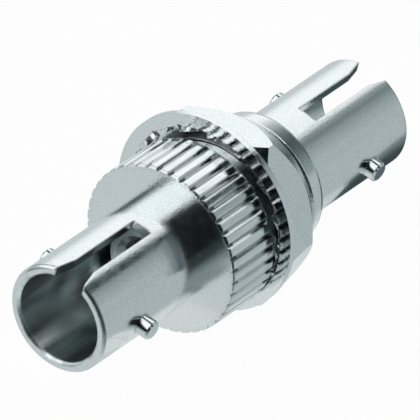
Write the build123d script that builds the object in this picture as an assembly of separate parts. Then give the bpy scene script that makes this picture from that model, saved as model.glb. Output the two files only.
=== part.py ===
from build123d import *
import math
import os

# Driving dimensions in millimetres and degrees.
# The adapter's axis is X. The front socket opens towards -X and the rear socket towards +X.
# x = 0 is the plane where the two ferrules meet. Directions round the axis are turned from +Z towards -Y.

# Barrels, one at each end, of the same bore and outside
barrel_diameter = 7.1
barrel_bore = 5.8
front_reach = 15.1
rear_reach = 15.2
rim_outer_break = 0.17
rim_inner_break = 0.15

# Knurled flange, turned in one with the front barrel
flange_diameter = 11.2
flange_front = 5.0
flange_back = 1.0
flange_edge_break = 0.1
knurl_groove_count = 41
knurl_groove_width = 0.42
knurl_groove_depth = 0.19
knurl_phase = 21.6

# Threaded shank behind the flange: a plain shoulder, then the core of a 3/8-32 thread
shoulder_diameter = 9.525
shoulder_end = 0.35
thread_core_diameter = 8.76
shank_end = 5.5
shank_end_break = 0.1

# Inner webs that carry the sleeve cups
front_web_thickness = 4.2
rear_web_thickness = 4.2

# Key slots, one in each barrel on the same side
key_direction = 12.5
key_width = 1.4
front_key_depth = 7.2
rear_key_depth = 6.75
key_corner_radius = 0.15
key_flare_length = 1.5
key_flare_width = 2.13
key_mouth_round = 0.25

# Bayonet pins, two in each barrel, a quarter turn either side of the key slot.
# Left and right are as seen from the front. The pins aren't all pressed in to one depth.
pin_diameter = 1.3
left_pin_tip_radius = 4.09
front_right_pin_tip_radius = 4.4
rear_right_pin_tip_radius = 4.25
pin_tip_break = 0.12
pin_angle_from_key = 90
front_pin_setback = 3.88
rear_pin_setback = 3.61

# Sleeve cups: the tubes that hold the alignment sleeve and guide the ferrule
cup_diameter = 4.9
cup_nose_diameter = 4.7
cup_nose_length = 1.75
cup_tip_recess = 8.1
cup_tip_break = 0.12
ferrule_guide_bore = 2.82
ferrule_guide_mouth = 3.6

# Split alignment sleeve
sleeve_length = 11.4
sleeve_outer_diameter = 3.2
sleeve_inner_diameter = 2.49
sleeve_slit_width = 0.35
sleeve_edge_break = 0.08
sleeve_end_clearance = 0.05
sleeve_side_clearance = 0.05

# Hexagon nut
nut_sides = 6
nut_across_flats = 11.4
nut_length = 4.0
nut_front = 0.05
nut_front_face_diameter = 11.86
nut_front_taper = 32
nut_rear_face_diameter = 9.4
nut_rear_taper = 36.7
nut_running_clearance = 0.05
nut_rear_bore_break = 0.1

# Lock washer with twisted inner teeth
washer_rim_width = 0.87
washer_thickness = 0.42
washer_lift = 0.54
washer_tooth_count = 16
washer_tooth_phase = 6.15
washer_tooth_length = 0.34
washer_tooth_root_width = 1.55
washer_tooth_root_thickness = 0.4
washer_tooth_tip_width = 1.2
washer_tooth_tip_thickness = 0.3
washer_tooth_twist = 18
washer_tooth_root_depth = 0.15
washer_tooth_gap_to_shoulder = 0.03
washer_gap_to_nut = 0.17

# Places that follow from the sizes above
barrel_radius = barrel_diameter / 2
bore_radius = barrel_bore / 2
flange_radius = flange_diameter / 2
shoulder_radius = shoulder_diameter / 2
core_radius = thread_core_diameter / 2
cup_radius = cup_diameter / 2
cup_nose_radius = cup_nose_diameter / 2
sleeve_pocket_radius = sleeve_outer_diameter / 2 + sleeve_side_clearance
sleeve_pocket_reach = sleeve_length / 2 + sleeve_end_clearance
nut_bore_radius = core_radius + nut_running_clearance
flat_height = nut_across_flats / 2
cutter_margin = 1.0
right = 1
left = -1


def at_rear(shape):
    """The shape as it is modelled, at the rear end."""
    return shape


def at_front(shape):
    """The same shape at the front end."""
    return mirror(shape, Plane.YZ)


def turned(outline):
    """Solid turned about the X axis from a closed outline of (x, radius) points."""
    return revolve(make_face(Polyline(*outline, close=True)), Axis.X)


def key_slot_cutter(reach, depth):
    """Slot along +X under +Z, square at its inner end, flared towards the rim and rounded into it."""
    closed_end = reach - depth
    flare_start = reach - key_flare_length
    half_width = key_width / 2
    half_mouth = key_flare_width / 2
    past_rim = reach + cutter_margin
    past_wall = half_mouth + cutter_margin
    side = [
        (closed_end, half_width),
        (flare_start, half_width),
        (reach, half_mouth),
        (reach, past_wall),
        (past_rim, past_wall),
    ]
    other_side = [(x, -y) for x, y in reversed(side)]
    plan = make_face(Polyline(*side, *other_side, close=True))
    plan = fillet(plan.vertices().group_by(Axis.X)[0], key_corner_radius)
    rim_corners = plan.vertices().group_by(Axis.X)[-2]
    mouth_corners = [corner for corner in rim_corners if abs(corner.Y) < past_wall - cutter_margin / 2]
    plan = fillet(mouth_corners, key_mouth_round)
    return extrude(plan, barrel_radius + cutter_margin)


def upright_round(diameter, bottom, top):
    """Round bar along +Z between two heights."""
    bar = Cylinder(diameter / 2, top - bottom, align=(Align.CENTER, Align.CENTER, Align.MIN))
    return Pos(0, 0, bottom) * bar


def round_the_axis(shape, side):
    """The shape turned from +Z to the place of the bayonet pin on this side of the key slot."""
    return Rot(X=key_direction + side * pin_angle_from_key) * shape


def pin_hole(side, setback, reach, place):
    """Drilled hole of one bayonet pin through its barrel's wall."""
    hole = upright_round(pin_diameter, cup_radius, barrel_radius + cutter_margin)
    return round_the_axis(place(Pos(reach - setback, 0, 0) * hole), side)


def make_bayonet_pin(side, tip_radius, setback, reach, place):
    """Round pin from the bore wall of its barrel out to its broken tip."""
    pin = upright_round(pin_diameter, bore_radius, tip_radius)
    pin = chamfer(pin.edges().sort_by(Axis.Z)[-1], pin_tip_break)
    return round_the_axis(place(Pos(reach - setback, 0, 0) * pin), side)


def front_outline():
    """Turned outline of the housing's outside and of its stepped bore."""
    rim = -front_reach
    flange_face = -flange_front
    flange_rear = -flange_back
    shoulder_step = shoulder_radius - core_radius
    web_face = -front_web_thickness
    return [
        (rim, bore_radius + rim_inner_break),
        (rim, barrel_radius - rim_outer_break),
        (rim + rim_outer_break, barrel_radius),
        (flange_face, barrel_radius),
        (flange_face, flange_radius - flange_edge_break),
        (flange_face + flange_edge_break, flange_radius),
        (flange_rear - flange_edge_break, flange_radius),
        (flange_rear, flange_radius - flange_edge_break),
        (flange_rear, shoulder_radius),
        (shoulder_end, shoulder_radius),
        (shoulder_end + shoulder_step, core_radius),
        (shank_end - shank_end_break, core_radius),
        (shank_end, core_radius - shank_end_break),
        (shank_end, barrel_radius),
        (0, barrel_radius),
        (0, cup_radius),
        (web_face, cup_radius),
        (web_face, bore_radius),
        (rim + rim_inner_break, bore_radius),
    ]


def rear_barrel_outline():
    """Turned outline of the barrel that is pressed into the shank up to the middle web."""
    rim = rear_reach
    return [
        (0, cup_radius),
        (0, barrel_radius),
        (rim - rim_outer_break, barrel_radius),
        (rim, barrel_radius - rim_outer_break),
        (rim, bore_radius + rim_inner_break),
        (rim - rim_inner_break, bore_radius),
        (rear_web_thickness, bore_radius),
        (rear_web_thickness, cup_radius),
    ]


def knurl_groove():
    """V groove along the flange, under +Z, cut a little past both faces."""
    top = flange_radius + cutter_margin
    bottom = flange_radius - knurl_groove_depth
    half_width = knurl_groove_width / 2 * (top - bottom) / knurl_groove_depth
    section = make_face(Polyline((-half_width, top), (half_width, top), (0, bottom), close=True))
    start = -flange_front - cutter_margin
    length = flange_front - flange_back + 2 * cutter_margin
    return extrude(Plane.YZ.offset(start) * section, length)


def make_flange_housing():
    """Front barrel, knurled flange and threaded shank, turned as one piece."""
    housing = turned(front_outline())
    groove = knurl_groove()
    pitch = 360 / knurl_groove_count
    grooves = [Rot(X=knurl_phase + index * pitch) * groove for index in range(knurl_groove_count)]
    housing -= grooves
    housing -= Rot(X=key_direction) * at_front(key_slot_cutter(front_reach, front_key_depth))
    housing -= [pin_hole(side, front_pin_setback, front_reach, at_front) for side in (right, left)]
    return housing


def make_rear_barrel():
    """Rear barrel with its own web, key slot and pin holes."""
    barrel = turned(rear_barrel_outline())
    barrel -= Rot(X=key_direction) * key_slot_cutter(rear_reach, rear_key_depth)
    barrel -= [pin_hole(side, rear_pin_setback, rear_reach, at_rear) for side in (right, left)]
    return barrel


def make_sleeve_cup(reach):
    """Rear sleeve cup: pocket for half of the sleeve, stop lip, ferrule guide and countersunk mouth."""
    tip = reach - cup_tip_recess
    nose_start = tip - cup_nose_length
    guide_radius = ferrule_guide_bore / 2
    mouth_radius = ferrule_guide_mouth / 2
    return turned([
        (0, sleeve_pocket_radius),
        (0, cup_radius),
        (nose_start, cup_radius),
        (nose_start, cup_nose_radius),
        (tip - cup_tip_break, cup_nose_radius),
        (tip, cup_nose_radius - cup_tip_break),
        (tip, mouth_radius),
        (tip - (mouth_radius - guide_radius), guide_radius),
        (sleeve_pocket_reach, guide_radius),
        (sleeve_pocket_reach, sleeve_pocket_radius),
    ])


def make_alignment_sleeve():
    """Tube slit along its whole length, so that it springs on to both ferrules."""
    end = sleeve_length / 2
    outer = sleeve_outer_diameter / 2
    inner = sleeve_inner_diameter / 2
    sleeve = turned([
        (-end, inner),
        (-end, outer - sleeve_edge_break),
        (-end + sleeve_edge_break, outer),
        (end - sleeve_edge_break, outer),
        (end, outer - sleeve_edge_break),
        (end, inner),
    ])
    slit = Box(sleeve_length, sleeve_slit_width, outer, align=(Align.CENTER, Align.CENTER, Align.MIN))
    return sleeve - slit


def make_hex_nut():
    """Hexagon nut with both ends coned off, countersunk where it meets the shoulder."""
    rear = nut_front + nut_length
    front_radius = nut_front_face_diameter / 2
    rear_radius = nut_rear_face_diameter / 2
    corner_radius = flat_height / math.cos(math.pi / nut_sides)
    front_run = (corner_radius - front_radius) / math.tan(math.radians(nut_front_taper))
    rear_run = (corner_radius - rear_radius) / math.tan(math.radians(nut_rear_taper))
    hexagon = Plane.YZ.offset(nut_front) * RegularPolygon(flat_height, nut_sides, major_radius=False)
    envelope = turned([
        (nut_front, 0),
        (nut_front, front_radius),
        (nut_front + front_run, corner_radius),
        (rear - rear_run, corner_radius),
        (rear, rear_radius),
        (rear, 0),
    ])
    nut = extrude(hexagon, nut_length) & envelope
    # The countersink is a 45 degree cone that stands off the shoulder's cone by the running clearance
    countersink_depth = shoulder_end - nut_front + shoulder_radius - core_radius
    countersink_radius = nut_bore_radius + countersink_depth
    bore = turned([
        (nut_front, 0),
        (nut_front, countersink_radius),
        (nut_front + countersink_depth, nut_bore_radius),
        (rear - nut_rear_bore_break, nut_bore_radius),
        (rear, nut_bore_radius + nut_rear_bore_break),
        (rear, 0),
    ])
    return nut - bore


def washer_tooth(tip_radius, root_radius):
    """One tooth under +Z: square to the ring at its root and twisted at its tip."""
    root = Plane(origin=(0, 0, root_radius), x_dir=(0, 1, 0), z_dir=(0, 0, -1))
    tip = Plane(origin=(0, 0, tip_radius), x_dir=(0, 1, 0), z_dir=(0, 0, -1))
    root_section = root * Rectangle(washer_tooth_root_width, washer_tooth_root_thickness)
    tip_section = tip * Rectangle(washer_tooth_tip_width, washer_tooth_tip_thickness)
    tip_section = tip_section.rotate(Axis((0, 0, 0), (0, 0, 1)), washer_tooth_twist)
    return loft([root_section, tip_section], ruled=True)


def make_lock_washer():
    """Ring with twisted teeth that point inwards, hanging loose round the shoulder in front of the nut."""
    tip_radius = shoulder_radius + washer_lift + washer_tooth_gap_to_shoulder
    ring_radius = tip_radius + washer_tooth_length
    half_twist_width = washer_tooth_tip_width / 2 * math.sin(math.radians(washer_tooth_twist))
    half_twist_depth = washer_tooth_tip_thickness / 2 * math.cos(math.radians(washer_tooth_twist))
    middle = nut_front - washer_gap_to_nut - half_twist_width - half_twist_depth
    half_thickness = washer_thickness / 2
    outer_radius = ring_radius + washer_rim_width
    washer = turned([
        (-half_thickness, ring_radius),
        (-half_thickness, outer_radius),
        (half_thickness, outer_radius),
        (half_thickness, ring_radius),
    ])
    tooth = washer_tooth(tip_radius, ring_radius + washer_tooth_root_depth)
    pitch = 360 / washer_tooth_count
    teeth = [Rot(X=washer_tooth_phase + index * pitch) * tooth for index in range(washer_tooth_count)]
    washer += teeth
    return Pos(middle, 0, washer_lift) * washer


pieces = {
    "flange_housing": make_flange_housing(),
    "rear_barrel": make_rear_barrel(),
    "front_sleeve_cup": at_front(make_sleeve_cup(front_reach)),
    "rear_sleeve_cup": make_sleeve_cup(rear_reach),
    "alignment_sleeve": make_alignment_sleeve(),
    "front_pin_left": make_bayonet_pin(left, left_pin_tip_radius, front_pin_setback, front_reach, at_front),
    "front_pin_right": make_bayonet_pin(
        right, front_right_pin_tip_radius, front_pin_setback, front_reach, at_front
    ),
    "rear_pin_left": make_bayonet_pin(left, left_pin_tip_radius, rear_pin_setback, rear_reach, at_rear),
    "rear_pin_right": make_bayonet_pin(
        right, rear_right_pin_tip_radius, rear_pin_setback, rear_reach, at_rear
    ),
    "lock_washer": make_lock_washer(),
    "hex_nut": make_hex_nut(),
}

os.makedirs("parts", exist_ok=True)
for name, piece in pieces.items():
    export_step(piece, f"parts/{name}.step")
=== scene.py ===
import math
import bpy
from mathutils import Matrix, Vector


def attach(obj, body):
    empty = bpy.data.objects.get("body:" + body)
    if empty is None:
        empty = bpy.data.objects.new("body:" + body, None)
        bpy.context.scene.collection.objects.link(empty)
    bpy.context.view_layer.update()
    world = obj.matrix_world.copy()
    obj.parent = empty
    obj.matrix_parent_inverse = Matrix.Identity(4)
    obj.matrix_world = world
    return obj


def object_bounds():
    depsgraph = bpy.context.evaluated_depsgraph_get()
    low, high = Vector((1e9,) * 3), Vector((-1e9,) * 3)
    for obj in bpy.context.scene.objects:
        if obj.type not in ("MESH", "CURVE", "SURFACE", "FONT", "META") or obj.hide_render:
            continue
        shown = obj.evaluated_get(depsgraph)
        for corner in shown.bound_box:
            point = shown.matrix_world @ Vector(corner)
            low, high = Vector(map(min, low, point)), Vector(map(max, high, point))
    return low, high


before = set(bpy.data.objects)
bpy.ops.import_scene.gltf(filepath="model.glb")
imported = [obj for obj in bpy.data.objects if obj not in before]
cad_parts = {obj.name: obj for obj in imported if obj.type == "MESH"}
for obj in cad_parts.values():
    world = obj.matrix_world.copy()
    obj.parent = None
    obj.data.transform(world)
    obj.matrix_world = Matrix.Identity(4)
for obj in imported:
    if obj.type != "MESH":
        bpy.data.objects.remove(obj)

cad_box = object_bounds()

MM = 0.001
MICRON = 0.000001
MM_PER_METRE = 1000
WHITE = (1, 1, 1, 1)

# Camera: the photograph's direction, roll and scale
PHOTO_WIDTH_PX = 420
PIXELS_PER_MM = 16.56
CAMERA_AZIMUTH = -54.16
CAMERA_ELEVATION = 33.13
CAMERA_ROLL = 2.81
LENS_MM = 1500
SENSOR_MM = 36
ORIGIN_PIXEL = (210.454, 214.873)

# Shank thread, 3/8-32, cut between the shoulder and the shank's end. Its foot lies just inside the shank.
THREAD_PITCH = 0.79375 * MM
THREAD_CREST_RADIUS = 4.7625 * MM
THREAD_CORE_RADIUS = 4.38 * MM
THREAD_FOOT_RADIUS = THREAD_CORE_RADIUS - 0.03 * MM
THREAD_HALF_CREST = THREAD_PITCH / 16
THREAD_HALF_ROOT = THREAD_PITCH * 3 / 8
THREAD_START = 0.85 * MM
THREAD_END = 4.6 * MM
THREAD_STEPS = 72

# Tapered lead behind the nut, where the thread dies out
LEAD_START = 4.0 * MM
LEAD_END = 5.42 * MM
LEAD_START_RADIUS = 4.71 * MM
LEAD_END_RADIUS = 4.4 * MM
LEAD_STEPS = 144
LEAD_SHARP_DEGREES = 30

# Tent: its level behind and in front of the adapter, against a white sheet
TENT_LEVEL = 1.07
FRONT_TENT_LEVEL = 1.2

# Room: ranges of the direction's X in which the front half gives way to the rear half and that to the far wall,
# the range of its Y from side to side of the far wall, and the dark gap between two sheets of the tent, with its
# middle in X and the range over which its edges fade
FRONT_TO_REAR = (-0.2, -0.05)
REAR_TO_FAR_WALL = (0.72, 0.82)
FAR_WALL_SIDES = (-0.5, 0.6)
GAP_MIDDLE = 0.25
GAP_EDGES = (0.13, 0.18)

# Floor: half its width, and how much of what the camera sees of it is glow. The rest keeps the shadow.
FLOOR_REACH = 400
FLOOR_GLOW = 0.97

# Cards: how far out they reach, and how far from the middle their colours may fade, in millimetres
CARD_REACH = 390
CARD_FADE = 25

# Arcs of card in front of the flange: their place along the axis, and the turns between which they stand
FLAG_PLACE = -4.95
FLAG_TURNS_DEGREES = range(35, 86, 5)


def linear(hex_colour):
    """An sRGB hex colour as the linear colour that Blender takes."""
    channels = [int(hex_colour[place:place + 2], 16) / 255 for place in (0, 2, 4)]
    return tuple(c / 12.92 if c <= 0.04045 else ((c + 0.055) / 1.055) ** 2.4 for c in channels) + (1,)


def add(tree, kind, settings=(), inputs=(), stops=()):
    """A new node with its settings, its inputs linked or set, and its colour stops if it has any."""
    node = tree.nodes.new(kind)
    for name, value in dict(settings).items():
        setattr(node, name, value)
    for name, value in dict(inputs).items():
        if isinstance(value, bpy.types.NodeSocket):
            tree.links.new(value, node.inputs[name])
        else:
            node.inputs[name].default_value = value
    for index, (position, colour) in enumerate(stops):
        elements = node.color_ramp.elements
        stop = elements[index] if index < len(elements) else elements.new(position)
        stop.position = position
        stop.color = colour
    while stops and len(node.color_ramp.elements) > len(stops):
        node.color_ramp.elements.remove(node.color_ramp.elements[-1])
    return node


def at_level(hex_colour, level):
    """The linear colour, made so many times as bright."""
    return tuple(c * level for c in linear(hex_colour)[:3]) + (1,)


def new_tree(owner):
    """The emptied node tree of a material or world."""
    owner.use_nodes = True
    owner.node_tree.nodes.clear()
    return owner.node_tree


def turn_round_axis(tree, split):
    """Turn of a split vector round the adapter's axis, from straight up towards the right wall (-Y)."""
    to_the_right = add(tree, "ShaderNodeMath", {"operation": "MULTIPLY"}, {0: split.outputs["Y"], 1: -1.0})
    turn = add(tree, "ShaderNodeMath", {"operation": "ARCTAN2"}, {
        0: to_the_right.outputs[0], 1: split.outputs["Z"],
    })
    return turn.outputs[0]


def new_piece(name, points, faces, material):
    """A mesh object in the scene, made of one material."""
    mesh = bpy.data.meshes.new(name)
    mesh.from_pydata(points, [], faces)
    mesh.validate()
    mesh.materials.append(material)
    piece = bpy.data.objects.new(name, mesh)
    bpy.context.scene.collection.objects.link(piece)
    return piece


# Camera and room

def make_camera():
    """Long lens, so that the view is as flat as the photograph's."""
    data = bpy.data.cameras.new("camera")
    data.lens = LENS_MM
    data.sensor_width = SENSOR_MM
    camera = bpy.data.objects.new("camera", data)
    bpy.context.scene.collection.objects.link(camera)
    turn = Matrix.Rotation(math.radians(CAMERA_AZIMUTH), 3, "Z")
    turn = turn @ Matrix.Rotation(math.radians(90 - CAMERA_ELEVATION), 3, "X")
    turn = turn @ Matrix.Rotation(math.radians(CAMERA_ROLL), 3, "Z")
    right, up, back = Vector(turn.col[0]), Vector(turn.col[1]), Vector(turn.col[2])
    view_width = PHOTO_WIDTH_PX / PIXELS_PER_MM * MM
    distance = view_width * LENS_MM / SENSOR_MM
    across = (PHOTO_WIDTH_PX / 2 - ORIGIN_PIXEL[0]) / PIXELS_PER_MM * MM
    down = (PHOTO_WIDTH_PX / 2 - ORIGIN_PIXEL[1]) / PIXELS_PER_MM * MM
    place = right * across - up * down + back * distance
    camera.matrix_world = Matrix.Translation(place) @ turn.to_4x4()
    data.clip_start = distance / 10
    data.clip_end = distance * 10
    bpy.context.scene.camera = camera


def turn_stop(degrees):
    """Place on a ramp that runs from -180 to 180 degrees round the adapter's axis."""
    return (degrees + 180) / 360


def make_room():
    """White tent on the left and above, a grey wall on the right, a dark room in front and a grey far wall.

    A dark gap between two sheets of the tent draws the dark lines on the pins and along the rims and edges.
    """
    world = bpy.data.worlds.new("studio")
    bpy.context.scene.world = world
    tree = new_tree(world)
    direction = add(tree, "ShaderNodeTexCoord").outputs["Generated"]
    split = add(tree, "ShaderNodeSeparateXYZ", inputs={0: direction})
    place = add(tree, "ShaderNodeMapRange", inputs={
        "Value": turn_round_axis(tree, split), "From Min": -math.pi, "From Max": math.pi,
    })
    tent = at_level("FBFEFF", TENT_LEVEL)
    front_tent = at_level("FBFEFF", FRONT_TENT_LEVEL)
    behind = add(tree, "ShaderNodeValToRGB", inputs={0: place.outputs[0]}, stops=[
        (turn_stop(-92), linear("C9D1D2")), (turn_stop(-80), linear("EDF2F3")), (turn_stop(-66), tent),
        (turn_stop(11), tent), (turn_stop(22), linear("8E999B")), (turn_stop(32), linear("707B7D")),
        (turn_stop(42), linear("8F9B9D")), (turn_stop(55), linear("A0ABAD")),
        (turn_stop(75), linear("B1BBBD")), (turn_stop(100), linear("A8B2B4")),
        (turn_stop(130), linear("A4AEB0")),
    ])
    in_front = add(tree, "ShaderNodeValToRGB", inputs={0: place.outputs[0]}, stops=[
        (turn_stop(-90), linear("2E383A")), (turn_stop(-78), linear("B4BDBE")), (turn_stop(-67), front_tent),
        (turn_stop(-9), front_tent), (turn_stop(1), linear("070A0A")),
    ])
    to_rear = add(tree, "ShaderNodeMapRange", inputs={
        "Value": split.outputs["X"], "From Min": FRONT_TO_REAR[0], "From Max": FRONT_TO_REAR[1],
    })
    room = add(tree, "ShaderNodeMix", {"data_type": "RGBA"}, {
        "Factor": to_rear.outputs[0], "A": in_front.outputs[0], "B": behind.outputs[0],
    })
    to_far_wall = add(tree, "ShaderNodeMapRange", inputs={
        "Value": split.outputs["X"], "From Min": REAR_TO_FAR_WALL[0], "From Max": REAR_TO_FAR_WALL[1],
    })
    far_side = add(tree, "ShaderNodeMapRange", inputs={
        "Value": split.outputs["Y"], "From Min": FAR_WALL_SIDES[0], "From Max": FAR_WALL_SIDES[1],
    })
    far_wall = add(tree, "ShaderNodeValToRGB", inputs={0: far_side.outputs[0]}, stops=[
        (0.05, linear("95A1A3")), (0.13, linear("82908F")), (0.25, linear("55646A")),
        (0.41, linear("445255")), (0.58, linear("6F7B7D")), (0.75, linear("B6BFC0")), (0.9, tent),
    ])
    room = add(tree, "ShaderNodeMix", {"data_type": "RGBA"}, {
        "Factor": to_far_wall.outputs[0], "A": room.outputs["Result"], "B": far_wall.outputs[0],
    })
    from_gap = add(tree, "ShaderNodeMath", {"operation": "SUBTRACT"}, {0: split.outputs["X"], 1: GAP_MIDDLE})
    off_gap = add(tree, "ShaderNodeMath", {"operation": "ABSOLUTE"}, {0: from_gap.outputs[0]})
    gap_edge = add(tree, "ShaderNodeMapRange", inputs={
        "Value": off_gap.outputs[0], "From Min": GAP_EDGES[0], "From Max": GAP_EDGES[1],
    })
    room = add(tree, "ShaderNodeMix", {"data_type": "RGBA"}, {
        "Factor": gap_edge.outputs[0], "A": linear("0B0F0E"), "B": room.outputs["Result"],
    })
    seen_by_camera = add(tree, "ShaderNodeLightPath").outputs["Is Camera Ray"]
    shown = add(tree, "ShaderNodeMix", {"data_type": "RGBA"}, {
        "Factor": seen_by_camera, "A": room.outputs["Result"], "B": WHITE,
    })
    background = add(tree, "ShaderNodeBackground", inputs={"Color": shown.outputs["Result"], "Strength": 1.0})
    add(tree, "ShaderNodeOutputWorld", inputs={"Surface": background.outputs[0]})


def flat_sheet(name, corners, material):
    """Flat sheet, for the floor and the cards, with X and Y in millimetres and the height in metres."""
    points = [(x * MM, y * MM, z) for x, y, z in corners]
    sheet = new_piece(name, points, [tuple(range(len(corners)))], material)
    return sheet


def glow(name, colours):
    """Glow of a lit card, whose colour fades from one distance in Y to the next."""
    material = bpy.data.materials.new(name)
    tree = new_tree(material)
    place = add(tree, "ShaderNodeTexCoord").outputs["Object"]
    split = add(tree, "ShaderNodeSeparateXYZ", inputs={0: place})
    fade = add(tree, "ShaderNodeMapRange", inputs={
        "Value": split.outputs["Y"], "From Min": -CARD_FADE * MM, "From Max": CARD_FADE * MM,
    })
    ramp = add(tree, "ShaderNodeValToRGB", inputs={0: fade.outputs[0]}, stops=[
        ((y + CARD_FADE) / (2 * CARD_FADE), linear(colour)) for y, colour in colours
    ])
    emission = add(tree, "ShaderNodeEmission", inputs={"Color": ramp.outputs[0], "Strength": 1.0})
    add(tree, "ShaderNodeOutputMaterial", inputs={"Surface": emission.outputs[0]})
    return material


def make_floor(height):
    """White paper that the camera sees as nearly pure white, with a faint shadow under the adapter."""
    material = bpy.data.materials.new("white_paper")
    tree = new_tree(material)
    paper = add(tree, "ShaderNodeBsdfDiffuse", inputs={"Color": linear("F4F4F2")})
    glowing = add(tree, "ShaderNodeEmission", inputs={"Color": WHITE, "Strength": 1.0})
    reflected = add(tree, "ShaderNodeEmission", inputs={"Color": linear("C9D0D1"), "Strength": 1.0})
    path = add(tree, "ShaderNodeLightPath")
    lifted = add(tree, "ShaderNodeMixShader", inputs={
        0: FLOOR_GLOW, 1: paper.outputs[0], 2: glowing.outputs[0],
    })
    for_camera = add(tree, "ShaderNodeMixShader", inputs={
        0: path.outputs["Is Camera Ray"], 1: paper.outputs[0], 2: lifted.outputs[0],
    })
    for_metal = add(tree, "ShaderNodeMixShader", inputs={
        0: path.outputs["Is Glossy Ray"], 1: for_camera.outputs[0], 2: reflected.outputs[0],
    })
    add(tree, "ShaderNodeOutputMaterial", inputs={"Surface": for_metal.outputs[0]})
    near, far = -FLOOR_REACH, FLOOR_REACH
    flat_sheet("floor", [(x, y, height) for x, y in ((near, near), (far, near), (far, far), (near, far))], material)


def make_cards(floor):
    """Cards that only the plated metal sees, in millimetres: they lie and stand on the floor, and one hangs above.

    Each colour comes with the Y at which it is reached.
    """
    near, far = -CARD_REACH, CARD_REACH
    # Lift above the floor, corners and colours
    lying_cards = {
        "grey_card": (0.02, [(-8, near), (far, near), (far, -5.5), (-8, -5.5)], [(0, "B2BBBC")]),
        "front_dark_card": (0.04, [(-10.3, near), (-8.3, near), (-8.3, -2.5), (-10.3, -2.5)], [
            (-20, "2E3837"), (-5, "8B9698"), (-3, "B4BDBE"), (-2.5, "DADEDE"),
        ]),
        "outer_dark_card": (0.04, [(near, near), (-10.3, near), (-10.3, -4.5), (near, -4.5)], [
            (-20, "2E3837"), (-9, "8B9698"), (-6, "B4BDBE"), (-4.5, "DADEDE"),
        ]),
        "left_dark_card": (0.02, [(near, 24), (-34, 24), (-34, far), (near, far)], [(0, "475355")]),
        "white_card": (0.03, [(-9, -4.5), (11, -4.5), (11, 6), (-9, 6)], [(0, "DADEDE")]),
        "dark_card": (0.04, [
            (11.8, 0.6), (13, -3), (14.5, -5.4), (20, -8.4), (30, -12), (40, -12), (40, 8), (11.8, 8),
        ], [(-8.5, "7A8587"), (-6.5, "6B7678"), (-5, "4A5658"), (-3.8, "3A4648")]),
        "dark_card_above": (66, [(36, -44), (57, -44), (57, -24), (36, -24)], [(0, "2E383A")]),
    }
    # Place along the axis, ends in Y, height and colours
    standing_cards = {
        "flange_card": (-8.2, -8, -2.7, 1.2, [(0, "7A8587")]),
        "flange_card_back": (-8.25, -8, -2.7, 1.2, [(0, "DADEDE")]),
        "rim_card": (-10.3, -8, -3, 2.2, [(0, "8B9698")]),
        "rim_card_back": (-10.35, -8, -3, 2.2, [(0, "DADEDE")]),
    }
    # Inner and outer radius and colour
    flange_flags = {
        "inner_flag": (5.65, 6.2, "3A4648"),
        "outer_flag": (6.2, 7.0, "7A8587"),
    }
    cards = []
    for name, (lift, corners, colours) in lying_cards.items():
        height = floor + lift * MM
        cards.append(flat_sheet(name, [(x, y, height) for x, y in corners], glow(name, colours)))
    for name, (x, start, end, rise, colours) in standing_cards.items():
        top = floor + rise * MM
        corners = [(x, start, floor), (x, end, floor), (x, end, top), (x, start, top)]
        cards.append(flat_sheet(name, corners, glow(name, colours)))
    for name, (inner, outer, colour) in flange_flags.items():
        turns = [math.radians(degrees) for degrees in FLAG_TURNS_DEGREES]
        arc = [(outer, turn) for turn in turns] + [(inner, turn) for turn in reversed(turns)]
        corners = [
            (FLAG_PLACE, -radius * math.sin(turn), radius * math.cos(turn) * MM) for radius, turn in arc
        ]
        cards.append(flat_sheet(name, corners, glow(name, [(0, colour)])))
    for card in cards:
        card.visible_camera = False
        card.visible_diffuse = False
        card.visible_shadow = False


# Finishes

# Fine unevenness of the plate: a soft orange peel, fine pits and a wider mottle. Real pits are some hundredths
# of a millimetre wide. They and the tool marks are drawn about 0.1 mm wide, as coarse as they need to be to show.
PEEL_PER_MM = 6
PITS_PER_MM = 9
MOTTLE_PER_MM = 1.3

# How far the gloss strays from its value over the mottle's range, the heights of the pitted pattern from a pit's
# bottom to the whole plate, and the tone of the mottle and of the pits against the plate's
MOTTLE_RANGE = (0.3, 0.7)
GLOSS_SPREAD = (0.8, 1.25)
PIT_RANGE = (0.35, 0.6)
MOTTLE_TONE = 0.96
PIT_TONE = 0.88

# How open a place is where the painted shade of recesses is darkest, and where the plate keeps its full colour
PAINTED_SHADE_OPENNESS = (0.1, 0.6)

# Bore: its roughness, the tint of its darkest streaks, the lighter and darker streaks along it, counted per mm
# along the axis, per mm of radius and per radian, the heights of their pattern from darkest to lightest, and how
# far outside its radius the bore's look ends
BORE_ROUGHNESS = 0.26
BORE_TINT = "C3CECF"
BORE_STREAKS = (0.12, 0.0, 2.6)
BORE_STREAK_RANGE = (0.42, 0.6)
BORE_FADE = (0.1, 0.3)

# Knurl: radii of its groove bottoms and ridges, the streaks that the knurling wheel leaves, counted the same way,
# how much deeper they are than the marks of the turning tool, and how far inside the groove bottoms they end
KNURL = (5.43, 5.56)
NO_KNURL = (99.0, 100.0)
KNURL_STREAKS = (0.4, 0.0, 24.0)
KNURL_MARKS_DEEPER = 6.0
KNURL_FADE = (0.1, 0.05)
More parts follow.
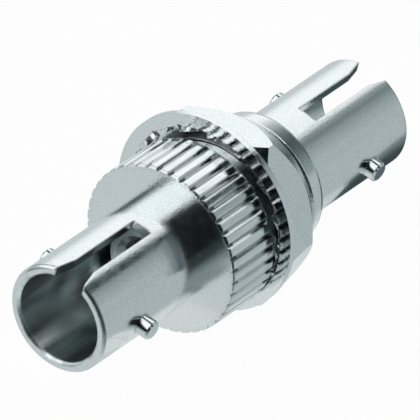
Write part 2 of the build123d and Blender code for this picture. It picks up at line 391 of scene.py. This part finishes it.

# Zones: a place along the axis in mm, within half the length on either side of the middle, with how much of its
# colour the plate keeps against painted shade, how rough it is there, and how far round edges and painted shade in
# recesses reach, each as a part of its full value
HALF_LENGTH = 16
EVEN = [(0, (1, 1, 0.15))]
HOUSING_ZONES = [
    # front barrel, then the crisp corner in which it meets the flange
    (-5.6, (1, 1, 1)), (-5.3, (1, 1, 0.02)), (-4.99, (1, 1, 0.02)),
    # knurl, its grooves darkened with painted shade, wholly at their front ends
    (-4.97, (0.0, 0.5, 1)), (-4.5, (0.0, 0.6, 1)), (-4.42, (0.78, 0.6, 1)), (-1.05, (0.78, 0.6, 1)),
    # rear face of the flange darkened with painted shade, then shoulder and shank
    (-1.01, (0.2, 1, 0.15)), (-0.98, (0.2, 1, 0.15)), (-0.94, (1, 1, 0.15)), (5.2, (1, 1, 0.15)),
    # rear barrel
    (5.25, (1, 1, 1)),
]


def axis_coordinates(tree):
    """Place, distance along the axis, radius and turn round the axis, in millimetres and radians."""
    place = add(tree, "ShaderNodeTexCoord").outputs["Object"]
    in_mm = add(tree, "ShaderNodeVectorMath", {"operation": "SCALE"}, {0: place, "Scale": MM_PER_METRE})
    split = add(tree, "ShaderNodeSeparateXYZ", inputs={0: in_mm.outputs[0]})
    section = add(tree, "ShaderNodeCombineXYZ", inputs={1: split.outputs["Y"], 2: split.outputs["Z"]})
    radius = add(tree, "ShaderNodeVectorMath", {"operation": "LENGTH"}, {0: section.outputs[0]})
    return in_mm.outputs[0], split.outputs["X"], radius.outputs["Value"], turn_round_axis(tree, split)


def plated_metal(name, colour, roughness, marks, painted_shade, edge_radius, bore=(0.0, "FFFFFF"), zones=EVEN,
                 knurl=NO_KNURL, metallic=1.0):
    """Plated metal whose plate shows what lies under it.

    marks: tool marks per mm along the axis, per mm of radius and per radian, then their depth and the depth of
        the orange peel in thousandths of a millimetre
    painted_shade: colour of the shade painted into recesses and grooves, and at most how far from a wall, in mm
    edge_radius: how far the edges are rounded at most, in mm
    bore: radius of the bore in mm and the colour of its lightest streaks
    zones, knurl: as HOUSING_ZONES and KNURL
    """
    material = bpy.data.materials.new(name)
    tree = new_tree(material)
    place, along, radius, turn = axis_coordinates(tree)
    stretch, marks_depth, peel_depth = marks
    unrolled = add(tree, "ShaderNodeCombineXYZ", inputs={0: along, 1: radius, 2: turn})
    rings = add(tree, "ShaderNodeVectorMath", {"operation": "MULTIPLY"}, {0: unrolled.outputs[0], 1: stretch})
    rolled = add(tree, "ShaderNodeVectorMath", {"operation": "MULTIPLY"}, {
        0: unrolled.outputs[0], 1: KNURL_STREAKS,
    })
    groove_bottom, ridge = knurl
    on_knurl = add(tree, "ShaderNodeMapRange", inputs={
        "Value": radius, "From Min": groove_bottom - KNURL_FADE[0], "From Max": groove_bottom - KNURL_FADE[1],
    })
    worked = add(tree, "ShaderNodeMix", {"data_type": "VECTOR"}, {
        "Factor": on_knurl.outputs[0], "A": rings.outputs[0], "B": rolled.outputs[0],
    })
    tool_marks = add(tree, "ShaderNodeTexNoise", inputs={
        "Vector": worked.outputs["Result"], "Scale": 1.0, "Detail": 2.0,
    })
    deeper = add(tree, "ShaderNodeMapRange", inputs={
        "Value": on_knurl.outputs[0], "To Min": 1.0, "To Max": KNURL_MARKS_DEEPER,
    })
    marks_height = add(tree, "ShaderNodeMath", {"operation": "MULTIPLY"}, {
        0: tool_marks.outputs[0], 1: deeper.outputs[0],
    })
    peel = add(tree, "ShaderNodeTexNoise", inputs={"Vector": place, "Scale": PEEL_PER_MM, "Detail": 3.0})
    mottle = add(tree, "ShaderNodeTexNoise", inputs={
        "Vector": place, "Scale": MOTTLE_PER_MM, "Detail": 5.0,
    })
    pits = add(tree, "ShaderNodeTexNoise", inputs={"Vector": place, "Scale": PITS_PER_MM, "Detail": 1.0})
    worn = add(tree, "ShaderNodeMix", {"data_type": "FLOAT"}, {
        "Factor": on_knurl.outputs[0], "A": pits.outputs[0], "B": tool_marks.outputs[0],
    })
    off_pits = add(tree, "ShaderNodeMapRange", inputs={
        "Value": worn.outputs[0], "From Min": PIT_RANGE[0], "From Max": PIT_RANGE[1],
    })
    gloss = add(tree, "ShaderNodeMapRange", inputs={
        "Value": mottle.outputs[0], "From Min": MOTTLE_RANGE[0], "From Max": MOTTLE_RANGE[1],
        "To Min": roughness * GLOSS_SPREAD[0], "To Max": roughness * GLOSS_SPREAD[1],
    })
    reach = add(tree, "ShaderNodeMapRange", inputs={
        "Value": along, "From Min": -HALF_LENGTH, "From Max": HALF_LENGTH,
    })
    zone_ramp = add(tree, "ShaderNodeValToRGB", inputs={0: reach.outputs[0]}, stops=[
        ((x + HALF_LENGTH) / (2 * HALF_LENGTH), levels + (1,)) for x, levels in zones
    ])
    zone = add(tree, "ShaderNodeSeparateColor", inputs={0: zone_ramp.outputs[0]})
    gloss = add(tree, "ShaderNodeMath", {"operation": "MULTIPLY"}, {
        0: gloss.outputs[0], 1: zone.outputs["Green"],
    })
    bore_radius, bore_colour = bore
    outside = add(tree, "ShaderNodeMapRange", inputs={
        "Value": radius, "From Min": bore_radius + BORE_FADE[0], "From Max": bore_radius + BORE_FADE[1],
    })
    gloss = add(tree, "ShaderNodeMix", {"data_type": "FLOAT"}, {
        "Factor": outside.outputs[0], "A": BORE_ROUGHNESS, "B": gloss.outputs[0],
    })
    tint = add(tree, "ShaderNodeMix", {"data_type": "RGBA"}, {
        "Factor": mottle.outputs[0], "A": linear(colour), "B": at_level(colour, MOTTLE_TONE),
    })
    tint = add(tree, "ShaderNodeMix", {"data_type": "RGBA"}, {
        "Factor": off_pits.outputs[0], "A": at_level(colour, PIT_TONE), "B": tint.outputs["Result"],
    })
    # Painted shade: near walls, found by ambient occlusion, in the knurl's grooves and where the zones ask for it
    painted_shade_colour, painted_shade_reach = painted_shade
    corner = add(tree, "ShaderNodeMath", {"operation": "MULTIPLY"}, {
        0: zone.outputs["Blue"], 1: painted_shade_reach * MM,
    })
    openness = add(tree, "ShaderNodeAmbientOcclusion", {"samples": 8}, {"Distance": corner.outputs[0]})
    unshaded = add(tree, "ShaderNodeMapRange", inputs={
        "Value": openness.outputs["AO"], "From Min": PAINTED_SHADE_OPENNESS[0], "From Max": PAINTED_SHADE_OPENNESS[1],
    })
    # Painted shade in the knurl's grooves, from the ridges down to the groove bottoms
    on_ridge = add(tree, "ShaderNodeMapRange", inputs={
        "Value": radius, "From Min": groove_bottom, "From Max": ridge,
    })
    bright = add(tree, "ShaderNodeMath", {"operation": "MAXIMUM"}, {
        0: on_ridge.outputs[0], 1: zone.outputs["Red"],
    })
    bright = add(tree, "ShaderNodeMath", {"operation": "MULTIPLY"}, {
        0: unshaded.outputs[0], 1: bright.outputs[0],
    })
    shade = add(tree, "ShaderNodeMix", {"data_type": "RGBA"}, {
        "Factor": bright.outputs[0], "A": linear(painted_shade_colour), "B": tint.outputs["Result"],
    })
    streak_place = add(tree, "ShaderNodeVectorMath", {"operation": "MULTIPLY"}, {
        0: unrolled.outputs[0], 1: BORE_STREAKS,
    })
    streak_noise = add(tree, "ShaderNodeTexNoise", inputs={"Vector": streak_place.outputs[0], "Scale": 1.0, "Detail": 3.0})
    on_light_streak = add(tree, "ShaderNodeMapRange", inputs={
        "Value": streak_noise.outputs[0], "From Min": BORE_STREAK_RANGE[0], "From Max": BORE_STREAK_RANGE[1],
    })
    bore_shade = add(tree, "ShaderNodeMix", {"data_type": "RGBA"}, {
        "Factor": on_light_streak.outputs[0], "A": linear(BORE_TINT), "B": linear(bore_colour),
    })
    shade = add(tree, "ShaderNodeMix", {"data_type": "RGBA"}, {
        "Factor": outside.outputs[0], "A": bore_shade.outputs["Result"], "B": shade.outputs["Result"],
    })
    edge = add(tree, "ShaderNodeMath", {"operation": "MULTIPLY"}, {
        0: zone.outputs["Blue"], 1: edge_radius * MM,
    })
    soft_edge = add(tree, "ShaderNodeBevel", {"samples": 4}, {"Radius": edge.outputs[0]})
    peel_bump = add(tree, "ShaderNodeBump", inputs={
        "Strength": 1.0, "Distance": peel_depth * MICRON, "Height": peel.outputs[0],
        "Normal": soft_edge.outputs[0],
    })
    marks_bump = add(tree, "ShaderNodeBump", inputs={
        "Strength": 1.0, "Distance": marks_depth * MICRON, "Height": marks_height.outputs[0],
        "Normal": peel_bump.outputs[0],
    })
    shader = add(tree, "ShaderNodeBsdfPrincipled", inputs={
        "Base Color": shade.outputs["Result"], "Metallic": metallic, "Roughness": gloss.outputs[0],
        "Normal": marks_bump.outputs[0],
    })
    add(tree, "ShaderNodeOutputMaterial", inputs={"Surface": shader.outputs[0]})
    return material


def dress(node, material):
    """Gives a CAD node its finish."""
    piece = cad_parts[node]
    piece.data.materials.clear()
    piece.data.materials.append(material)


# Pieces

def make_shank_thread(material):
    """The 3/8-32 thread on the shank, as a ridge that rises at its start and fades at the shank's end."""
    count = int((THREAD_END - THREAD_START) / THREAD_PITCH * THREAD_STEPS)
    half_turn = THREAD_STEPS / 2
    points = []
    faces = []
    for index in range(count + 1):
        turn = 2 * math.pi * index / THREAD_STEPS
        middle = THREAD_START + THREAD_PITCH * index / THREAD_STEPS
        rise = min(1, index / half_turn, (count - index) / half_turn)
        crest = THREAD_CORE_RADIUS + (THREAD_CREST_RADIUS - THREAD_CORE_RADIUS) * rise
        section = [
            (-THREAD_HALF_ROOT, THREAD_FOOT_RADIUS),
            (-THREAD_HALF_CREST, crest),
            (THREAD_HALF_CREST, crest),
            (THREAD_HALF_ROOT, THREAD_FOOT_RADIUS),
        ]
        for along, radius in section:
            points.append((middle + along, -radius * math.sin(turn), radius * math.cos(turn)))
        if index:
            low, high = 4 * (index - 1), 4 * index
            faces += [(low + k, high + k, high + (k + 1) % 4, low + (k + 1) % 4) for k in range(4)]
    faces += [(0, 1, 2, 3), tuple(4 * count + k for k in (3, 2, 1, 0))]
    thread = new_piece("shank_thread", points, faces, material)
    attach(thread, "housing")


def make_shank_lead(material):
    """Tapered lead at the shank's end, where the thread dies out, turned smooth."""
    outline = [
        (LEAD_START, THREAD_FOOT_RADIUS),
        (LEAD_START, LEAD_START_RADIUS),
        (LEAD_END, LEAD_END_RADIUS),
        (LEAD_END, THREAD_FOOT_RADIUS),
    ]
    count = len(outline)
    points = []
    faces = []
    for index in range(LEAD_STEPS):
        turn = 2 * math.pi * index / LEAD_STEPS
        points += [(x, -radius * math.sin(turn), radius * math.cos(turn)) for x, radius in outline]
        low, high = count * index, count * ((index + 1) % LEAD_STEPS)
        faces += [(low + k, high + k, high + (k + 1) % count, low + (k + 1) % count) for k in range(count)]
    lead = new_piece("shank_lead", points, faces, material)
    lead.data.shade_smooth()
    lead.data.set_sharp_from_angle(angle=math.radians(LEAD_SHARP_DEGREES))
    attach(lead, "housing")


make_camera()
make_room()
floor_height = cad_box[0][2]
make_floor(floor_height)
make_cards(floor_height)

nickel = "F3F7F8"
# Grey of the shade painted into recesses, for the finishes that don't give their own
painted_shade_grey = "4A5758"
turning_marks = (4.0, 4.0, 0.3)

# Bright nickel plated on turned brass: fine tool rings under a thin, slightly pitted plate. It gives the eye
# long soft mirror bands that break up a little, bright crisp edges, and a knurl with streaked crests. Its grooves
# and recesses are darkened with painted shade.
turned_nickel = plated_metal(
    "bright_nickel_on_turned_brass", nickel, 0.16, (turning_marks, 3.0, 6.0), ("3A4647", 0.55), 0.2,
    (2.9, "FAFFFF"), HOUSING_ZONES, KNURL,
)

# Bright nickel on milled brass: flat faces that mirror one tone each, with a faint mottle and light edges
nut_nickel = plated_metal(
    "bright_nickel_on_milled_brass", nickel, 0.16, (turning_marks, 2.0, 5.0), (painted_shade_grey, 0.5), 0.25,
)

# Nickel on stamped spring steel: a sharper mirror, wavy from the press, so that each twisted tooth flashes
# Its narrow gaps are darkened with a near-black painted shade
washer_nickel = plated_metal(
    "nickel_on_stamped_steel", nickel, 0.09, ((1.5, 1.5, 1.5), 25.0, 6.0), ("2E3839", 0.2), 0.2,
)

# Bright nickel on drawn wire: small crisp highlights, with a ring of painted shade where the pin enters the barrel
pin_nickel = plated_metal(
    "bright_nickel_on_drawn_wire", nickel, 0.13, ((3.0, 3.0, 3.0), 3.0, 3.0), (painted_shade_grey, 0.4), 0.3,
)

# Dull nickel on turned brass: scatters what light falls in through the slot, so that the cup shows in the dark
cup_nickel = plated_metal(
    "dull_nickel_on_turned_brass", "E6EDEE", 0.2, (turning_marks, 2.0, 3.0), (painted_shade_grey, 0.4), 0.2,
    metallic=0.65,
)

# Drawn phosphor bronze: warmer and duller than the plate, with fine lines along the axis from the drawing die
# Its recesses are darkened with a brown painted shade
sleeve_bronze = plated_metal(
    "drawn_phosphor_bronze", "8F8A78", 0.3, ((0.3, 4.0, 8.0), 2.0, 2.0), ("6B6452", 0.4), 0.1,
)

finishes = {
    "flange_housing": turned_nickel,
    "rear_barrel": turned_nickel,
    "front_sleeve_cup": cup_nickel,
    "rear_sleeve_cup": cup_nickel,
    "alignment_sleeve": sleeve_bronze,
    "front_pin_left": pin_nickel,
    "front_pin_right": pin_nickel,
    "rear_pin_left": pin_nickel,
    "rear_pin_right": pin_nickel,
    "lock_washer": washer_nickel,
    "hex_nut": nut_nickel,
}
for node, finish in finishes.items():
    dress(node, finish)
make_shank_thread(turned_nickel)
make_shank_lead(turned_nickel)

bpy.context.scene.view_settings.view_transform = "Standard"
